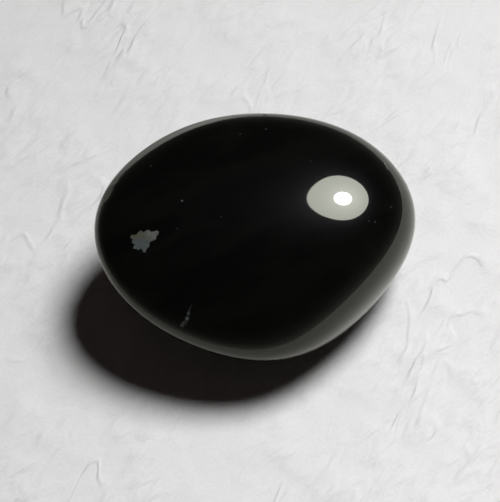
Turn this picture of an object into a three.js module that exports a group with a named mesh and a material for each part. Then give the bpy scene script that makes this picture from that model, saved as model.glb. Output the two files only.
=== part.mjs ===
// A tumbled pebble of snowflake obsidian, in millimetres, with +Z up and its long side along X.
//
// Obsidian is a volcanic glass, and this pebble is one solid piece of it. Tumbling wore a broken chunk down until
// its faces turned into soft flats that run into each other. The shape is made the same way: a rounded blank, worn
// back by a few broad faces. The origin is on the surface that the pebble rests on, under the middle of its outline.

import * as THREE from "three";
import { mergeVertices } from "three/addons/utils/BufferGeometryUtils.js";

// Half the length, width and height of the blank, before any face was worn.
const BLANK_HALF_SIZE = new THREE.Vector3(18, 15, 14);

// The worn faces. A face looks out along its bearing, in degrees from +X towards +Y, and its rise, in degrees above
// the horizontal. It lies at its distance from the middle of the blank.
const WORN_FACES = [
  { name: "top", bearing: 0, rise: 90, distance: 7.6 },
  { name: "right shoulder", bearing: 325, rise: 65, distance: 11 },
  { name: "front shoulder", bearing: 275, rise: 60, distance: 7.9 },
  { name: "right front", bearing: 315, rise: -5, distance: 13.9 },
  { name: "front, below", bearing: 265, rise: -55, distance: 13.6 },
  { name: "left front, below", bearing: 235, rise: -55, distance: 8.5 },
  { name: "left end, below", bearing: 190, rise: -45, distance: 9.9 },
  { name: "left back, below", bearing: 135, rise: -20, distance: 13.3 },
  { name: "back, below", bearing: 95, rise: -30, distance: 11 },
  { name: "bottom", bearing: 40, rise: -80, distance: 8.7 },
];

// How crisply the blank and its faces meet: 2 melts them together, and 20 would leave sharp edges.
const CRISPNESS = 5;

// The height worn off the lowest point, which leaves the small flat spot that the pebble rests on.
const REST_WEAR = 0.25;

// The number of cuts along each edge of the icosahedron that the blank is divided from.
const DIVISIONS = 14;

// The direction that a face looks in, as a unit vector.
function outwardNormal({ bearing, rise }) {
  const turn = THREE.MathUtils.degToRad(bearing);
  const climb = THREE.MathUtils.degToRad(rise);
  return new THREE.Vector3(
    Math.cos(turn) * Math.cos(climb),
    Math.sin(turn) * Math.cos(climb),
    Math.sin(climb),
  );
}

const faceNormals = WORN_FACES.map(outwardNormal);

// How far out a point lies: under 1 inside the pebble, 1 on its surface and over 1 outside. The blank and each face
// give a share, and the largest share counts most, because each is raised to a power before they are added.
function reach(point) {
  const blankShare = point.clone().divide(BLANK_HALF_SIZE).length();
  let total = blankShare ** CRISPNESS;
  WORN_FACES.forEach((face, i) => {
    const faceShare = Math.max(0, point.dot(faceNormals[i]) / face.distance);
    total += faceShare ** CRISPNESS;
  });
  return total ** (1 / CRISPNESS);
}

// A ball with evenly spread vertices that neighbouring triangles share.
function closedBall() {
  const ball = new THREE.IcosahedronGeometry(1, DIVISIONS);
  ball.deleteAttribute("normal");
  ball.deleteAttribute("uv");
  return mergeVertices(ball);
}

// The pebble's surface: each vertex is stretched onto the blank, then drawn in to where the worn faces leave it.
function pebbleGeometry() {
  const geometry = closedBall();
  const position = geometry.getAttribute("position");
  const point = new THREE.Vector3();
  for (let i = 0; i < position.count; i++) {
    point.fromBufferAttribute(position, i).multiply(BLANK_HALF_SIZE);
    point.divideScalar(reach(point));
    position.setXYZ(i, point.x, point.y, point.z);
  }
  return standOnOrigin(geometry);
}

// The lowest part is ground flat, and the flat is placed at z = 0 under the middle of the outline.
function standOnOrigin(geometry) {
  geometry.computeBoundingBox();
  const middle = geometry.boundingBox.getCenter(new THREE.Vector3());
  const restHeight = geometry.boundingBox.min.z + REST_WEAR;
  const position = geometry.getAttribute("position");
  for (let i = 0; i < position.count; i++) {
    position.setZ(i, Math.max(position.getZ(i), restHeight));
  }
  geometry.translate(-middle.x, -middle.y, -restHeight);
  geometry.computeVertexNormals();
  return geometry;
}

const polishedObsidian = new THREE.MeshStandardMaterial({
  name: "polished obsidian",
  color: 0x0b0b0c,
  roughness: 0.05,
  metalness: 0,
});

const stone = new THREE.Mesh(pebbleGeometry(), polishedObsidian);
stone.name = "stone";

const group = new THREE.Group();
group.add(stone);

export default group;
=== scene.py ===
# %% [markdown]
# # A tumbled pebble of snowflake obsidian
#
# Obsidian is lava that chilled so fast that it set as glass. This pebble is one piece of it, rolled in a
# barrel with ever finer grit until it shone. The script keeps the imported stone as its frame, draws the
# finished surface over it, mixes the glass and its markings from shader nodes, and sets one round lamp above
# a sheet of pale paper.

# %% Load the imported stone
import math

import bpy
import numpy as np
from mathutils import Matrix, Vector


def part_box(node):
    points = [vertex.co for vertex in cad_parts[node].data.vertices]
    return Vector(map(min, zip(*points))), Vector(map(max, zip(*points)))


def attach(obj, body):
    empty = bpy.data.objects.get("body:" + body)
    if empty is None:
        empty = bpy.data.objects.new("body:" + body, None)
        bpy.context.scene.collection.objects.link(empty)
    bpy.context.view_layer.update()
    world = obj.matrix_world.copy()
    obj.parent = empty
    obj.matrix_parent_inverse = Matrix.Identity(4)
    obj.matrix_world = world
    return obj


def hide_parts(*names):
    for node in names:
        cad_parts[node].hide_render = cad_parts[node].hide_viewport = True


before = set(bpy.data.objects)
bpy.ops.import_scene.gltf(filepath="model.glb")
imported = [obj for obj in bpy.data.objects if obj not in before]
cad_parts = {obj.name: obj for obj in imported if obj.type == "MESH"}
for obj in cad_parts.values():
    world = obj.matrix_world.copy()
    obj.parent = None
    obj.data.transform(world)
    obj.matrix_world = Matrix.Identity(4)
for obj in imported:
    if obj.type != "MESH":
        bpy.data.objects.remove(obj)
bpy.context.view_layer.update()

MM = 0.001

# %% [markdown]
# ## Measuring the frame
#
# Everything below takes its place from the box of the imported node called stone. The corner values could be
# typed in by hand, but then they would go stale as soon as the solid changed, so they are read from the frame
# instead.

# %% Measure the stone's box
stone_low, stone_high = (np.array(corner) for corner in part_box("stone"))
stone_size = stone_high - stone_low
stone_middle = (stone_low + stone_high) / 2
print("stone size in mm:", np.round(stone_size / MM, 2))

# %% [markdown]
# ## Camera
#
# A small polished stone is best seen from well above, with a long lens that keeps its outline true. The
# camera looks along +Y and down at 60 degrees, and aims a little to the left and in front of the stone's
# middle, which leaves room for the shadow. The lens could be typed in as a focal length. It follows instead
# from the height of the slice of space that the frame takes in at the stone, which is easier to think about.
# The Standard view transform shows white paper as white, where Blender's usual one would turn it grey.


# %% Camera helpers
def heading(bearing, rise):
    """The unit vector at a bearing from +X towards +Y and a rise above the horizontal, both in degrees: the
    cosine and the sine of the bearing, both times the cosine of the rise, and then the sine of the rise."""
    turn, climb = np.radians(bearing), np.radians(rise)
    return np.stack([np.cos(turn) * np.cos(climb), np.sin(turn) * np.cos(climb), np.sin(climb)], axis=-1)


def look(thing, place, target):
    """Stands a camera or a lamp at a place and points its local -Z at the target, with +Z kept upwards."""
    thing.location = Vector(place)
    thing.rotation_euler = (Vector(target) - Vector(place)).to_track_quat("-Z", "Y").to_euler()


# %% Place the camera
CAMERA_DISTANCE = 300 * MM
CAMERA_BEARING = 270
CAMERA_RISE = 60
FRAME_HEIGHT = 50.2 * MM
SENSOR = 36
AIM_OFFSET = np.array([-0.63, -0.56, -0.04]) * MM
NEAREST_SEEN = 10 * MM
FARTHEST_SEEN = 10

camera_data = bpy.data.cameras.new("camera")
camera_data.sensor_width = SENSOR
camera_data.lens = SENSOR * CAMERA_DISTANCE / FRAME_HEIGHT
camera_data.clip_start = NEAREST_SEEN
camera_data.clip_end = FARTHEST_SEEN
camera = bpy.data.objects.new("camera", camera_data)
bpy.context.collection.objects.link(camera)
bpy.context.scene.camera = camera
bpy.context.scene.view_settings.view_transform = "Standard"

aim = stone_middle + AIM_OFFSET
look(camera, aim + CAMERA_DISTANCE * heading(CAMERA_BEARING, CAMERA_RISE), aim)
print("lens in mm:", round(camera_data.lens, 1))

# %% [markdown]
# ## The worn form
#
# Tumbling wears a broken chunk evenly, so its faces turn into soft flats that melt into each other. A
# sculpted mesh could copy that, but a formula keeps it exact and smooth enough for a mirror polish. Each worn
# face is a plane at a distance from the middle, and the rounded blank is an ellipsoid. A point's share in one
# of them is how far out it lies, with 1 on that plane or on the blank. Adding the fifth powers of the shares
# lets the largest one win softly.

# %% The blank and its worn faces
BLANK_HALF_SIZE = np.array([18, 15, 14]) * MM
WORN_FACES = {  # bearing, rise, distance in mm
    "top": (0, 90, 7.6),
    "right shoulder": (325, 65, 11.0),
    "front shoulder": (275, 60, 7.9),
    "right front": (315, -5, 13.9),
    "front, below": (265, -55, 13.6),
    "left front, below": (235, -55, 8.5),
    "left end, below": (190, -45, 9.9),
    "left back, below": (135, -20, 13.3),
    "back, below": (95, -30, 11.0),
    "bottom": (40, -80, 8.7),
}
CRISPNESS = 5
REST_WEAR = 0.25 * MM

face_bearing, face_rise, face_distance = np.array(list(WORN_FACES.values())).T
face_distance = face_distance * MM
face_normals = heading(face_bearing, face_rise)
print("worn faces:", len(WORN_FACES))


# %% How far out a point lies
def reach(points):
    """How far out each point lies: the fifth root of the sum of the fifth powers of its shares."""
    blank_share = np.linalg.norm(points / BLANK_HALF_SIZE, axis=-1)
    face_shares = np.maximum(0, points @ face_normals.T) / face_distance
    return (blank_share**CRISPNESS + (face_shares**CRISPNESS).sum(axis=-1)) ** (1 / CRISPNESS)


# %% [markdown]
# ## A closed grid without poles
#
# A globe's grid pinches at its two poles, and a polished surface shows every pinch. Six square grids folded
# into a cube have none. Each grid is a function of two angles that run from -45 to +45 degrees, and the cube
# is then pushed out onto the stone. The squares' shared edges are welded, so the surface closes with no seam.


# %% Grids for a cube
def cube_sides(cuts):
    """The points of six grids: (1, tan s, tan t), with its values turned round for each side of the cube."""
    steps = np.tan(np.linspace(-math.pi / 4, math.pi / 4, cuts + 1))
    s, t = np.meshgrid(steps, steps, indexing="ij")
    one = np.ones_like(s)
    front, back = np.stack([one, s, t], axis=-1), np.stack([-one, t, s], axis=-1)
    return np.stack([np.roll(side, turn, axis=-1) for side in (front, back) for turn in range(3)])


def grid_squares(cuts):
    """The four corner numbers of each square, in order round its outer face, for all six grids."""
    corner = np.arange(6 * (cuts + 1) ** 2).reshape(6, cuts + 1, cuts + 1)
    around = [corner[:, :-1, :-1], corner[:, 1:, :-1], corner[:, 1:, 1:], corner[:, :-1, 1:]]
    return np.stack(around, axis=-1).reshape(-1, 4)


# %% Fold six grids into a cube
GRID_CUTS = 126
WELD_DISTANCE = 1e-6


def welded(points, squares):
    """Points that round to the same place become one, and the squares are renumbered to match."""
    cell = np.round(points / WELD_DISTANCE).astype(int)
    _, kept, renumber = np.unique(cell, axis=0, return_index=True, return_inverse=True)
    return points[kept], renumber.reshape(-1)[squares]


cube_points, stone_squares = welded(cube_sides(GRID_CUTS).reshape(-1, 3), grid_squares(GRID_CUTS))
print("grid points:", len(cube_points), "triangles:", 2 * len(stone_squares))

# %% Push the cube out onto the worn form
on_blank = cube_points / np.linalg.norm(cube_points, axis=1, keepdims=True) * BLANK_HALF_SIZE
formed = on_blank / reach(on_blank)[:, None]
form_low, form_high = formed.min(axis=0), formed.max(axis=0)
form_low[2] += REST_WEAR
form_scale = stone_size / (form_high - form_low)
print("fit to the packed box:", np.round(form_scale, 4))


# %% Move the form into the frame
def placed(points):
    """Moves points from the form's own middle into the frame: their distances from the form's lowest corner,
    times its scale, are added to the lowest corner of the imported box."""
    return (points - form_low) * form_scale + stone_low


print("corners of the placed form in mm:", np.round(placed(np.array([form_low, form_high])) / MM, 2).tolist())

# %% [markdown]
# ## Marks need places
#
# Every spot and streak is placed by how far it lies along and across the stone, as shares of its half length
# and half width, so it keeps its place if the stone is resized. A ray cast onto the mesh could find its
# height, but the form's own formula is exact. The height lies in a range with one end inside the stone and
# the other outside, and halving the range again and again closes in on the surface.

# %% Find points on the stone's top
HALVINGS = 30


def on_top(along, across):
    """The point of the upper surface above a plan position, which is given in shares of the half length and
    half width: the end of a range of heights that is halved towards the height at which reach is 1."""
    plan = stone_middle[:2] + np.array([along, across]) * stone_size[:2] / 2
    inside, outside = stone_middle[2], stone_high[2] + MM
    for _ in range(HALVINGS):
        height = (inside + outside) / 2
        point = (np.array([*plan, height]) - stone_low) / form_scale + form_low
        inside, outside = (height, outside) if reach(point) < 1 else (inside, height)
    return np.array([*plan, height])


print("top of the stone above its middle, in mm:", round(on_top(0, 0)[2] / MM, 2))

# %% [markdown]
# ## A worn edge
#
# Along the back left the edge was rubbed a little flatter than the ten faces leave it, so a wider band of it
# mirrors the paper. That flat bends with the edge, so no plane or ball can cut it. It is laid by the slope of
# the surface instead: the nearer the slope is to the flat's own, the more is worn off.

# %% Find the slopes of the form
SLOPE_STEP = MM / 1000


def form_normals(points):
    """The direction in which reach grows fastest, from its change over a small step each way on each axis."""
    steps = np.eye(3) * SLOPE_STEP
    slopes = np.stack([reach(points + step) - reach(points - step) for step in steps], axis=1)
    return slopes / np.linalg.norm(slopes, axis=1, keepdims=True)


normals = form_normals(formed)
print("points that look up:", int((normals[:, 2] > 0).sum()), "of", len(normals))

# %% Rub the back left edge
EDGE_BEARING = 120
EDGE_SPREAD = 45
EDGE_RISE = 48
EDGE_HALF_TURN = 15
EDGE_ROUNDING = 3.2 * MM
EDGE_SOFTNESS = 0.002 * MM


def edge_wear(normals):
    """Half the edge's rounding times (half turn squared - turn squared), kept above zero by a soft ramp. The
    turn is how far a slope is from the flat's, in radians. The nearness to the edge's bearing falls from 1 to
    0 as a cosine, and both the half turn and the wear shrink with it."""
    bearing = np.degrees(np.arctan2(normals[:, 1], normals[:, 0]))
    turn = np.arcsin(normals[:, 2]) - math.radians(EDGE_RISE)
    nearness = np.cos(np.clip((bearing - EDGE_BEARING) / EDGE_SPREAD, -1, 1) * math.pi / 2)
    worn_off = EDGE_ROUNDING / 2 * ((math.radians(EDGE_HALF_TURN) * nearness) ** 2 - turn**2)
    return nearness * EDGE_SOFTNESS * np.logaddexp(0, worn_off / EDGE_SOFTNESS)


rubbed = formed - normals * edge_wear(normals)[:, None]
print("deepest wear on the edge in mm:", round(edge_wear(normals).max() / MM, 3))

# %% [markdown]
# ## Scars and slow waves
#
# A tumbled stone is never a perfect form. Its left end keeps the flats of two old flakes, which the polish
# has rounded but not removed, and the whole skin carries slow waves a few thousandths of a millimetre high.
# Each flat is cut by a ball much larger than itself. A boolean cut would leave a hard edge, so the ball
# instead pushes points out of itself with a soft ramp.

# %% Lay the waves
WAVE_COUNT = 24
WAVE_LENGTH = (3.0 * MM, 8.0 * MM)
WAVE_HEIGHT = 0.0002 * MM
random = np.random.default_rng(26)


def waves(points):
    """The sum of sine waves in seeded directions. Longer waves stand higher, as they do on worn stone: each
    is as high as the wave height times its length over the shortest length."""
    lengths = random.uniform(*WAVE_LENGTH, WAVE_COUNT)
    directions = random.normal(size=(3, WAVE_COUNT))
    directions /= np.linalg.norm(directions, axis=0)
    phases = points @ (directions / lengths) * 2 * math.pi + random.uniform(0, 2 * math.pi, WAVE_COUNT)
    return (np.sin(phases) * WAVE_HEIGHT * lengths / WAVE_LENGTH[0]).sum(axis=1)


worn = placed(rubbed)
outward_from_middle = (worn - stone_middle) / stone_size
outward_from_middle /= np.linalg.norm(outward_from_middle, axis=1, keepdims=True)
worn += outward_from_middle * waves(worn)[:, None]
print("highest wave in mm:", round(np.linalg.norm(worn - placed(rubbed), axis=1).max() / MM, 4))

# %% Cut the flats
FLATS = [
    {"along": -0.877, "across": 0.314, "radius": 5 * MM, "depth": 0.050 * MM, "bearing": 151, "rise": 47},
    {"along": -0.922, "across": 0.198, "radius": 60 * MM, "depth": 0.065 * MM, "bearing": 160, "rise": 48},
]
FLAT_SOFTNESS = 0.004 * MM


def flattened(points, flat):
    """Pushes points out of a ball, by a soft ramp: softness times log(1 + exp(depth / softness))."""
    outward = heading(flat["bearing"], flat["rise"])
    centre = on_top(flat["along"], flat["across"]) + outward * (flat["radius"] - flat["depth"])
    away = points - centre
    distance = np.linalg.norm(away, axis=1, keepdims=True)
    depth = flat["radius"] - distance
    return points + away / distance * FLAT_SOFTNESS * np.logaddexp(0, depth / FLAT_SOFTNESS)


for flat in FLATS:
    worn = flattened(worn, flat)
worn = np.clip(worn, stone_low, stone_high)
print("deepest change in mm:", round(np.linalg.norm(worn - placed(formed), axis=1).max() / MM, 3))

# %% [markdown]
# ## Making the mesh
#
# The surface is a list of points and a list of squares by now, and Blender has to be given both. The arrays
# go into the mesh in one call each, which is far quicker than adding vertices one at a time. The faces are
# smooth shaded, because the polish has to bend a reflection without showing the squares.


# %% Arrays into a mesh
def surface_object(name, points, squares):
    """A smooth-shaded mesh object made from whole arrays of points and squares."""
    mesh = bpy.data.meshes.new(name)
    mesh.vertices.add(len(points))
    mesh.vertices.foreach_set("co", points.astype(np.float32).ravel())
    mesh.loops.add(squares.size)
    mesh.loops.foreach_set("vertex_index", squares.astype(np.int32).ravel())
    mesh.polygons.add(len(squares))
    mesh.polygons.foreach_set("loop_start", np.arange(0, squares.size, 4, dtype=np.int32))
    mesh.polygons.foreach_set("use_smooth", np.ones(len(squares), dtype=bool))
    mesh.update(calc_edges=True)
    mesh.validate()
    thing = bpy.data.objects.new(name, mesh)
    bpy.context.collection.objects.link(thing)
    return thing


# %% Build the pebble
pebble = surface_object("polished_pebble", worn, stone_squares)
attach(pebble, "root")
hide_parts("stone")
print("pebble faces:", len(pebble.data.polygons))

# %% [markdown]
# ## Shader sums as Python
#
# A finish is mostly arithmetic on distances and noises. Wiring Math nodes by hand hides that arithmetic, so a
# small class wraps a socket and lets Python's own signs add the nodes. Everything that isn't a sum of numbers
# goes through one method of the recipe, which sets a node's settings before it fills its sockets.


# %% Sockets that do sums
class Value:
    """One output of a node. Python's arithmetic on it adds Math nodes and returns the result's output."""

    def __init__(self, recipe, output):
        self.recipe, self.output = recipe, output

    def math(self, operation, *values):
        return self.recipe.node("ShaderNodeMath", {"operation": operation}, dict(enumerate(values)))

    def __add__(self, other):
        return self.math("ADD", self, other)

    def __sub__(self, other):
        return self.math("SUBTRACT", self, other)

    def __rsub__(self, other):
        return self.math("SUBTRACT", other, self)

    def __mul__(self, other):
        return self.math("MULTIPLY", self, other)

    def __truediv__(self, other):
        return self.math("DIVIDE", self, other)

    def __rtruediv__(self, other):
        return self.math("DIVIDE", other, self)

    __radd__, __rmul__ = __add__, __mul__

    def lowest(self, other):
        return self.math("MINIMUM", self, other)

    def highest(self, other):
        return self.math("MAXIMUM", self, other)

    def absolute(self):
        return self.math("ABSOLUTE", self)

    def exponential(self):
        return self.math("EXPONENT", self)


# %% A recipe of nodes
class Recipe:
    """The nodes of one material, of a lamp or of the world. Lengths on a piece are in millimetres."""

    def __init__(self, owner):
        self.owner = owner
        owner.use_nodes = True
        self.tree = owner.node_tree
        self.tree.nodes.clear()

    def node(self, kind, settings=None, sockets=None, output=0):
        """Adds a node, sets its settings, gives each socket its value or link, and returns one output."""
        made = self.tree.nodes.new(kind)
        for name, setting in (settings or {}).items():
            setattr(made, name, setting)
        for name, given in (sockets or {}).items():
            if isinstance(given, Value):
                self.tree.links.new(given.output, made.inputs[name])
            else:
                made.inputs[name].default_value = given
        return Value(self, made.outputs[output]) if made.outputs else None

    def place(self):
        """The point on the piece, in millimetres."""
        metres = self.node("ShaderNodeTexCoord", output="Object")
        return self.node("ShaderNodeVectorMath", {"operation": "SCALE"}, {"Vector": metres, "Scale": 1 / MM})

    def vector(self, operation, *values, output="Vector"):
        """A sum on vectors, such as their difference, or their dot product with the output called Value."""
        return self.node("ShaderNodeVectorMath", {"operation": operation}, dict(enumerate(values)), output)

    def noise(self, place, size, detail=2.0, distortion=0.0):
        """A soft random value from 0 to 1 whose blobs are about the given size across."""
        sockets = {"Vector": place, "Scale": 1 / size, "Detail": detail, "Distortion": distortion}
        return self.node("ShaderNodeTexNoise", None, sockets)

    def turned(self, place, angles, stretch):
        """The place in a frame turned by angles in degrees, and stretched to make its patterns longer."""
        sockets = {"Vector": place, "Rotation": np.radians(angles), "Scale": stretch}
        return self.node("ShaderNodeMapping", {"vector_type": "TEXTURE"}, sockets)

    def distance(self, place, point):
        """How far each place is from a point."""
        return self.vector("DISTANCE", place, point, output="Value")

    def outside_arm(self, place, start, end, thick, thin):
        """How far each place lies outside an arm whose thickness runs from thick at its start to thin at its
        end. The nearest point of its line is at the share of its length that is the dot product of the place
        and the line, over the line's squared length, kept between 0 and 1."""
        run = end - start
        away = self.vector("SUBTRACT", place, start)
        along = self.vector("DOT_PRODUCT", away, run, output="Value") / float(run @ run)
        share = self.node("ShaderNodeClamp", None, {"Value": along})
        nearest = self.node("ShaderNodeVectorMath", {"operation": "SCALE"}, {"Vector": run, "Scale": share})
        return self.vector("DISTANCE", away, nearest, output="Value") - (share * (thin - thick) + thick)

    def ramp(self, value, start, end, low=0.0, high=1.0):
        """Runs from low to high while the value runs from start to end: 3 share squared - 2 share cubed."""
        settings = {"interpolation_type": "SMOOTHSTEP"}
        sockets = {"Value": value, "From Min": start, "From Max": end, "To Min": low, "To Max": high}
        return self.node("ShaderNodeMapRange", settings, sockets)

    def blend(self, share, first, second):
        """One colour where the share is 0 and the other where it is 1."""
        return self.node("ShaderNodeMix", {"data_type": "RGBA"}, {0: share, 6: first, 7: second}, output=2)

    def finish(self, shader, kind="ShaderNodeOutputMaterial"):
        """Ends the recipe in an output node, and returns what it was made for."""
        self.node(kind, None, {"Surface": shader})
        return self.owner


# %% [markdown]
# ## Snowflake
#
# What breaks the black of this glass is cristobalite, a white mineral that grew in it as it cooled. It starts
# from a seed and pushes out arms, and where the grinding cut one such flower open it shows as a small grey
# star. A painted picture of it would blur close up, so each arm is a line whose thickness runs down from the
# seed to the tip. A place belongs to the star where it lies nearer to some arm than that arm is thick. A
# little noise frays the edge.

# %% Grow the snowflake
SNOWFLAKE_SEED = (-0.692, -0.245)
SEED_THICKNESS = 0.62
SNOWFLAKE_ARMS = [
    {"tip": (-0.758, -0.216), "thickness": 0.20},
    {"tip": (-0.708, -0.199), "thickness": 0.32},
    {"tip": (-0.665, -0.196), "thickness": 0.35},
    {"tip": (-0.613, -0.193), "thickness": 0.24},
    {"tip": (-0.628, -0.227), "thickness": 0.25},
    {"tip": (-0.668, -0.286), "thickness": 0.25},
    {"tip": (-0.683, -0.329), "thickness": 0.15},
    {"tip": (-0.723, -0.303), "thickness": 0.20},
    {"tip": (-0.739, -0.295), "thickness": 0.20},
    {"tip": (-0.743, -0.251), "thickness": 0.28},
]
FRAY_SIZE = 0.35
FRAY_DEPTH = 0.22
STAR_EDGE = 0.12
NOISE_MIDDLE = 0.5

obsidian = Recipe(bpy.data.materials.new("polished_obsidian"))
place = obsidian.place()
seed = on_top(*SNOWFLAKE_SEED) / MM

outside_star = obsidian.distance(place, seed)
for arm in SNOWFLAKE_ARMS:
    tip = on_top(*arm["tip"]) / MM
    outside_arm = obsidian.outside_arm(place, seed, tip, SEED_THICKNESS, arm["thickness"])
    outside_star = outside_star.lowest(outside_arm)
fray = (obsidian.noise(place, FRAY_SIZE, detail=3.0) - NOISE_MIDDLE) * FRAY_DEPTH
star = obsidian.ramp(outside_star + fray, STAR_EDGE / 2, -STAR_EDGE / 2)
print("middle of the snowflake in mm:", np.round(seed, 2))

# %% [markdown]
# The star isn't one grey. Its back half is a warm green grey and its front half a cold one, its right arm is
# paler than either, and darker grains run through all three. Each change of colour is a ramp across the star,
# and noise added to the ramp's value gives it a ragged border in place of a straight one.

# %% Colour the snowflake
STAR_GREEN = (0.072, 0.076, 0.060, 1)
STAR_BLUE = (0.072, 0.084, 0.092, 1)
STAR_PALE = (0.106, 0.111, 0.104, 1)
STAR_DARK = (0.050, 0.056, 0.048, 1)
GRAIN_SIZE = 0.4
WARM_FRAY = 1.2
WARM_RANGE = (-0.3, 0.4)
PALE_SLANT = 0.7
PALE_FRAY = 1.5
PALE_RANGE = (0.3, 1.2)
DARK_GRAIN_SIZE = 0.2
DARK_GRAIN_RANGE = (0.52, 0.30)
DARK_GRAIN_SHARE = 0.7

grain = obsidian.noise(place, GRAIN_SIZE, detail=3.0) - NOISE_MIDDLE
right_of_seed = obsidian.node("ShaderNodeSeparateXYZ", None, {"Vector": place}, output="X") - seed[0]
behind_seed = obsidian.node("ShaderNodeSeparateXYZ", None, {"Vector": place}, output="Y") - seed[1]
warmth = obsidian.ramp(behind_seed + grain * WARM_FRAY, *WARM_RANGE)
paleness = obsidian.ramp(right_of_seed + behind_seed * PALE_SLANT + grain * PALE_FRAY, *PALE_RANGE)
dark_grain = obsidian.ramp(obsidian.noise(place, DARK_GRAIN_SIZE), *DARK_GRAIN_RANGE, high=DARK_GRAIN_SHARE)
star_colour = obsidian.blend(warmth, STAR_BLUE, STAR_GREEN)
star_colour = obsidian.blend(paleness, star_colour, STAR_PALE)
star_colour = obsidian.blend(dark_grain, star_colour, STAR_DARK)
print("nodes in the obsidian so far:", len(obsidian.tree.nodes))

# %% [markdown]
# ## Streak, specks and nicks
#
# A short pale streak ends in a blot near the front edge, and two fine threads lie high on the right. They are
# healed cracks that the same mineral filled. Besides two beads in the streak, eleven more crystals show only
# as pinpoints. A streak is a chain of the same tapering lines that made the star's arms, so one method serves
# both.

# %% Place the streaks
STREAKS = [
    {"start": (-0.390, -0.706), "end": (-0.405, -0.731), "thick": 0.02, "thin": 0.06, "strength": 0.14},
    {"start": (-0.405, -0.731), "end": (-0.414, -0.765), "thick": 0.05, "thin": 0.08, "strength": 0.22},
    {"start": (-0.414, -0.765), "end": (-0.427, -0.811), "thick": 0.07, "thin": 0.07, "strength": 0.34},
    {"start": (-0.427, -0.811), "end": (-0.432, -0.831), "thick": 0.08, "thin": 0.04, "strength": 0.30},
    {"start": (-0.438, -0.811), "end": (-0.454, -0.834), "thick": 0.05, "thin": 0.18, "strength": 0.42},
    {"start": (0.798, 0.544), "end": (0.805, 0.515), "thick": 0.06, "thin": 0.08, "strength": 1.00},
    {"start": (0.805, 0.515), "end": (0.820, 0.469), "thick": 0.08, "thin": 0.04, "strength": 0.80},
    {"start": (0.882, 0.371), "end": (0.906, 0.293), "thick": 0.05, "thin": 0.03, "strength": 0.50},
]
STREAK_SOFTNESS = 0.09
STREAK_FRAY = 0.3

speck = 0
for part in STREAKS:
    ends = on_top(*part["start"]) / MM, on_top(*part["end"]) / MM
    outside_streak = obsidian.outside_arm(place, *ends, part["thick"], part["thin"]) + fray * STREAK_FRAY
    pale = obsidian.ramp(outside_streak, STREAK_SOFTNESS, -STREAK_SOFTNESS, high=part["strength"])
    speck = pale.highest(speck)
print("parts of streaks:", len(STREAKS))

# %% Place the specks
SPECKS = [
    {"at": (-0.414, -0.763), "radius": 0.24, "strength": 0.60},
    {"at": (-0.423, -0.797), "radius": 0.28, "strength": 1.00},
    {"at": (-0.456, 0.067), "radius": 0.15, "strength": 1.00},
    {"at": (-0.485, -0.162), "radius": 0.12, "strength": 0.25},
    {"at": (-0.216, -0.065), "radius": 0.10, "strength": 0.30},
    {"at": (-0.651, 0.399), "radius": 0.12, "strength": 0.35},
    {"at": (-0.101, 0.684), "radius": 0.10, "strength": 0.35},
    {"at": (0.060, 0.738), "radius": 0.11, "strength": 0.55},
    {"at": (0.338, 0.438), "radius": 0.10, "strength": 0.30},
    {"at": (0.833, 0.128), "radius": 0.10, "strength": 0.80},
    {"at": (0.693, -0.028), "radius": 0.10, "strength": 0.50},
    {"at": (0.731, -0.026), "radius": 0.14, "strength": 0.35},
    {"at": (0.882, 0.371), "radius": 0.10, "strength": 0.80},
]

for pinpoint in SPECKS:
    away = obsidian.distance(place, on_top(*pinpoint["at"]) / MM)
    speck = obsidian.ramp(away, pinpoint["radius"], 0, high=pinpoint["strength"]).highest(speck)
print("placed specks:", len(SPECKS))

# %% [markdown]
# The sides and the underside carry pinpoints too, and there only their number matters. A Voronoi texture
# scatters one point in each of its cells, and only the cells whose random value is high keep theirs. The top
# is left out, because its crystals are already in place.

# %% Scatter pinpoints over the sides
SCATTER_CELL = 1.2
SCATTER_RADIUS = 0.18
SCATTER_STRENGTH = 1.0
SCATTER_FLOOR = 0.65
SCATTER_TOP = 8.0
SCATTER_FADE = 1.0

height = obsidian.node("ShaderNodeSeparateXYZ", None, {"Vector": place}, output="Z")
cells = {"Vector": place, "Scale": 1 / SCATTER_CELL}
from_centre = obsidian.node("ShaderNodeTexVoronoi", None, cells, output="Distance") * SCATTER_CELL
cell_colour = obsidian.node("ShaderNodeTexVoronoi", None, cells, output="Color")
chance = obsidian.node("ShaderNodeSeparateXYZ", None, {"Vector": cell_colour}, output="X")
chosen = obsidian.ramp(chance, SCATTER_FLOOR, 1)
low_down = obsidian.ramp(height, SCATTER_TOP, SCATTER_TOP - SCATTER_FADE)
pinpoints = obsidian.ramp(from_centre, SCATTER_RADIUS, 0, high=SCATTER_STRENGTH)
speck = (pinpoints * chosen * low_down).highest(speck)
print("height in mm below which pinpoints are scattered:", SCATTER_TOP)

# %% [markdown]
# Two nicks on the rim are different. They are dents that the polish didn't reach, and too small to need a
# shape of their own, so they have no colour and show only as rough spots in the shine.

# %% Place the nicks
NICKS = [
    {"at": (0.054, 0.920), "radius": 0.30},
    {"at": (0.940, 0.427), "radius": 0.22},
]
NICK_ROUGHNESS = 0.5
NICK_CORE = 0.5

nick = 0
for dent in NICKS:
    away = obsidian.distance(place, on_top(*dent["at"]) / MM) + fray
    rough = obsidian.ramp(away, dent["radius"], dent["radius"] * NICK_CORE, high=NICK_ROUGHNESS)
    nick = rough.highest(nick)
print("nicks:", len(NICKS))

# %% [markdown]
# ## Glass
#
# The glass is almost black right through, so nearly all that shows on it is reflection. A clear body with
# dark absorption would look the same and take far longer to render, so the glass is simply opaque. Faint
# bands of flow run through the black, left from when it was still lava. On top of the mirror lies a thin haze
# of the finest scratches, which is what makes the soft glow round a reflected lamp. Principled's coat is that
# haze: it covers a small share of the surface, it is rough, and its tint holds back most of the blue. The
# mirror itself is tinted a little too, which gives the reflected paper its faint green.

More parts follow.
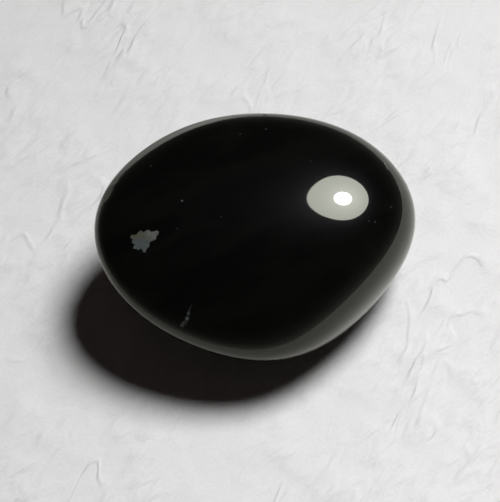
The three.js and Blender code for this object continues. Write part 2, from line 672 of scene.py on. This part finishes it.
# %% Bands in the glass
GLASS_BLACK = (0.0020, 0.0020, 0.0020, 1)
GLASS_SMOKE = (0.0032, 0.0032, 0.0031, 1)
FLOW_TURN = (0, 0, 25)
FLOW_STRETCH = (4, 1, 1)
FLOW_SIZE = 3.0
FLOW_SWIRL = 0.6
FLOW_RANGE = (0.4, 0.65)

flow_place = obsidian.turned(place, FLOW_TURN, FLOW_STRETCH)
flow = obsidian.noise(flow_place, FLOW_SIZE, detail=3.0, distortion=FLOW_SWIRL)
glass = obsidian.blend(obsidian.ramp(flow, *FLOW_RANGE), GLASS_BLACK, GLASS_SMOKE)
print("length of a band in mm:", FLOW_SIZE * FLOW_STRETCH[0])

# %% Mix the obsidian
SPECK_WHITE = (0.105, 0.115, 0.125, 1)
HAZE_SHARE = 0.06
HAZE_ROUGHNESS = 0.24
HAZE_TINT = (1.0, 1.0, 0.12, 1)
GLASS_IOR = 1.49
GLASS_TINT = (0.98, 1.0, 0.86, 1)
POLISH = 0.03
MARK_ROUGHNESS = 0.15

base_colour = obsidian.blend(star, obsidian.blend(speck, glass, SPECK_WHITE), star_colour)
roughness = (star.highest(speck) * MARK_ROUGHNESS).highest(nick) + POLISH

shader = obsidian.node(
    "ShaderNodeBsdfPrincipled",
    None,
    {
        "Base Color": base_colour,
        "Roughness": roughness,
        "IOR": GLASS_IOR,
        "Specular Tint": GLASS_TINT,
        "Coat Weight": HAZE_SHARE,
        "Coat Roughness": HAZE_ROUGHNESS,
        "Coat IOR": GLASS_IOR,
        "Coat Tint": HAZE_TINT,
    },
)
pebble.data.materials.append(obsidian.finish(shader))
print("nodes in the obsidian:", len(obsidian.tree.nodes))

# %% [markdown]
# ## Paper to lie on
#
# The stone lies on a sheet of pale paper, large enough to fill the view. The sheet ends a hand's width away,
# which gives the polish a clean line between paper and dark room to reflect. A grid of many points could
# carry its relief, but four corners are enough here, because the relief is all in the paper's finish.

# %% Lay the paper
PAPER_HALF_SIZE = 200 * MM

paper_corners = np.array([[-1, -1, 0], [1, -1, 0], [1, 1, 0], [-1, 1, 0]]) * PAPER_HALF_SIZE
paper_corners[:, 2] = stone_low[2]
paper = surface_object("paper", paper_corners, np.array([[0, 1, 2, 3]]))
print("side of the sheet in mm:", round(2 * PAPER_HALF_SIZE / MM))

# %% [markdown]
# The paper has been crumpled and smoothed again, so it keeps three sizes of relief: the grain of its fibres,
# soft creases that all run one way, and a few sharper folds where a noise crosses its middle value. None of
# them is as high as a tenth of the stone, so bump can stand for them.

# %% Crease the paper
CREASE_TURN = (0, 0, 46)
CREASE_STRETCH = (3, 1, 1)
CREASE_SIZE = 1.5
CREASE_SWIRL = 0.35
CREASE_HEIGHT = 0.6
CREASE_PATCH = 9.0
CREASE_PATCH_RANGE = (0.35, 0.65)
CREASE_LEAST = 0.35
FOLD_TURN = (0, 0, 65)
FOLD_STRETCH = (2.5, 1, 1)
FOLD_SPACING = 4.5
FOLD_SWIRL = 0.5
FOLD_SHARE = 0.05
FOLD_HEIGHT = 0.10
FOLD_PATCH = 13.0
FOLD_PATCH_RANGE = (0.48, 0.62)
FIBRE_SIZE = 0.35
FIBRE_HEIGHT = 0.04

sheet = Recipe(bpy.data.materials.new("pale_paper"))
spot = sheet.place()
crease = sheet.noise(sheet.turned(spot, CREASE_TURN, CREASE_STRETCH), CREASE_SIZE, distortion=CREASE_SWIRL)
creased = sheet.ramp(sheet.noise(spot, CREASE_PATCH), *CREASE_PATCH_RANGE, low=CREASE_LEAST)
bend = sheet.noise(sheet.turned(spot, FOLD_TURN, FOLD_STRETCH), FOLD_SPACING, distortion=FOLD_SWIRL)
fold = sheet.ramp((bend - NOISE_MIDDLE).absolute(), FOLD_SHARE, 0)
folded = sheet.ramp(sheet.noise(spot, FOLD_PATCH), *FOLD_PATCH_RANGE)
fibre = sheet.noise(spot, FIBRE_SIZE)
relief = crease * creased * CREASE_HEIGHT + fold * folded * FOLD_HEIGHT + fibre * FIBRE_HEIGHT
print("greatest relief in mm:", round(CREASE_HEIGHT + FOLD_HEIGHT + FIBRE_HEIGHT, 2))

# %% Mix the paper
PAPER_WHITE = (0.80, 0.80, 0.80, 1)
PAPER_ROUGHNESS = 0.9
PAPER_SHINE = 0.2

paper_shader = sheet.node(
    "ShaderNodeBsdfPrincipled",
    None,
    {
        "Base Color": PAPER_WHITE,
        "Roughness": PAPER_ROUGHNESS,
        "Specular IOR Level": PAPER_SHINE,
        "Normal": sheet.node("ShaderNodeBump", None, {"Height": relief, "Distance": MM, "Strength": 1.0}),
    },
)
paper.data.materials.append(sheet.finish(paper_shader))
print("nodes in the paper:", len(sheet.tree.nodes))

# %% [markdown]
# ## Lamp in the polish
#
# One lamp stands behind the stone and to its right, high up. Its shade is a wide disc of soft light with the
# small bright disc of the bulb in front, and the polish shows them as one neat oval with a white heart. A
# cloth shade is brightest round its bulb, so the disc's glow is a recipe too, which fades from its middle to
# its edge. A modelled lamp would take many more samples for the same oval. The paper doesn't see these discs,
# because a bare disc would light the whole sheet evenly.


# %% Lamp helpers
def add_lamp(name, kind, centre, target):
    """A lamp of one kind that stands at its centre and faces the target."""
    lamp = bpy.data.objects.new(name, bpy.data.lights.new(name, kind))
    bpy.context.collection.objects.link(lamp)
    look(lamp, centre, target)
    return lamp


def add_disc(name, centre, radius, glow):
    """A round lamp that faces the stone. Its power is its glow times pi and its area."""
    disc = add_lamp(name, "AREA", centre, (0, 0, 0))
    disc.data.shape = "DISK"
    disc.data.size = 2 * radius
    disc.data.energy = glow * (math.pi * radius) ** 2
    return disc


# %% A disc that fades towards its edge
DISC_MIDDLE = (0.5, 0.5, 0)
DISC_EDGE = 0.5


def fade_to_edge(disc, middle, edge):
    """Gives a disc one colour in its middle, another at its edge and a smooth run between them. A place on a
    disc is two shares of its width, and its distance from the middle's two shares drives the run."""
    cloth = Recipe(disc.data)
    on_disc = cloth.node("ShaderNodeNewGeometry", output="Parametric")
    towards_edge = cloth.ramp(cloth.distance(on_disc, DISC_MIDDLE), 0, DISC_EDGE)
    colour = cloth.blend(towards_edge, middle, edge)
    cloth.finish(cloth.node("ShaderNodeEmission", None, {"Color": colour}), "ShaderNodeOutputLight")


# %% Hang the discs
LAMP_BEARING = 35.2
LAMP_RISE = 61.3
LAMP_DISTANCE = 922 * MM
SHADE_RADIUS = 199 * MM
SHADE_GLOW = 13.6
SHADE_MIDDLE = (0.93, 0.93, 1.0, 1)
SHADE_EDGE = (0.71, 0.72, 0.76, 1)
BULB_RADIUS = 55 * MM
BULB_GLOW = 80
BULB_SHIFT = np.array([-26, -4, 7]) * MM

shade_centre = LAMP_DISTANCE * heading(LAMP_BEARING, LAMP_RISE)
shade_disc = add_disc("shade", shade_centre, SHADE_RADIUS, SHADE_GLOW)
fade_to_edge(shade_disc, SHADE_MIDDLE, SHADE_EDGE)
bulb_disc = add_disc("bulb", shade_centre + BULB_SHIFT, BULB_RADIUS, BULB_GLOW)
for disc in (shade_disc, bulb_disc):
    disc.visible_diffuse = False
print("powers of shade and bulb in watts:", round(shade_disc.data.energy, 2), round(bulb_disc.data.energy, 2))

# %% [markdown]
# ## Light on the paper
#
# What falls on the paper comes from a ball of light beside the shade. It is as wide as the shade, which gives
# the shadow its broad soft edge, and it shines in a cone whose own soft edge lets the paper fade towards the
# left. A faint wide disc overhead stands for light that the walls send back, and keeps the shadow from going
# quite black. One lamp could do all of this, but then its place in the polish and the shadow's edge couldn't
# be set apart. The polish sees neither the ball nor the wide disc.

# %% Light the paper
BALL_BEARING = 39.5
BALL_RISE = 62.8
BALL_RADIUS = 199 * MM
BALL_POWER = 50
CONE_AIM = np.array([170, -44, 0]) * MM
CONE_ANGLE = 50
CONE_SOFTNESS = 1.0
FILL_HEIGHT = 1000 * MM
FILL_RADIUS = 1000 * MM
FILL_GLOW = 0.027
FILL_WARM = (1.0, 0.70, 0.70)

ball = add_lamp("ball", "SPOT", LAMP_DISTANCE * heading(BALL_BEARING, BALL_RISE), CONE_AIM)
ball.data.shadow_soft_size = BALL_RADIUS
ball.data.spot_size = math.radians(CONE_ANGLE)
ball.data.spot_blend = CONE_SOFTNESS
ball.data.energy = BALL_POWER
fill = add_disc("fill", (0, 0, FILL_HEIGHT), FILL_RADIUS, FILL_GLOW)
fill.data.color = FILL_WARM
for lamp in (ball, fill):
    lamp.visible_glossy = False
print("powers of ball and fill in watts:", round(ball.data.energy, 2), round(fill.data.energy, 2))

# %% [markdown]
# ## Room
#
# The room is dark, but a low band of it just above the table catches some of the lamp's light, most of all in
# front. The polish shows the band as a soft fade inside the pale rim that the paper makes. Real walls would
# need placing by trial, so the world's own colour carries the band: it falls off exponentially with the
# height of the direction. The paper doesn't see the world, so the band leaves the shadow dark.

# %% Light the room's low band
ROOM_DARK = (0.004, 0.003, 0.003, 1)
BAND_PALE = (1, 1, 1, 1)
BAND_HEIGHT = 0.21
BAND_GLOW = 0.16
FRONT_BEARING = 283
FRONT_GLOW = 0.24

room = Recipe(bpy.data.worlds.new("room"))
direction = room.node("ShaderNodeTexCoord", output="Generated")
rise = room.node("ShaderNodeSeparateXYZ", None, {"Vector": direction}, output="Z")
front = room.vector("DOT_PRODUCT", direction, heading(FRONT_BEARING, 0), output="Value").highest(0)
fade = (rise.highest(0) / -BAND_HEIGHT).exponential()
sky = room.blend(fade * (front * FRONT_GLOW + BAND_GLOW), ROOM_DARK, BAND_PALE)
background = room.node("ShaderNodeBackground", None, {"Color": sky})
bpy.context.scene.world = room.finish(background, "ShaderNodeOutputWorld")
bpy.context.scene.world.cycles_visibility.diffuse = False
print("glow of the band at the front:", round(BAND_GLOW + FRONT_GLOW, 2))
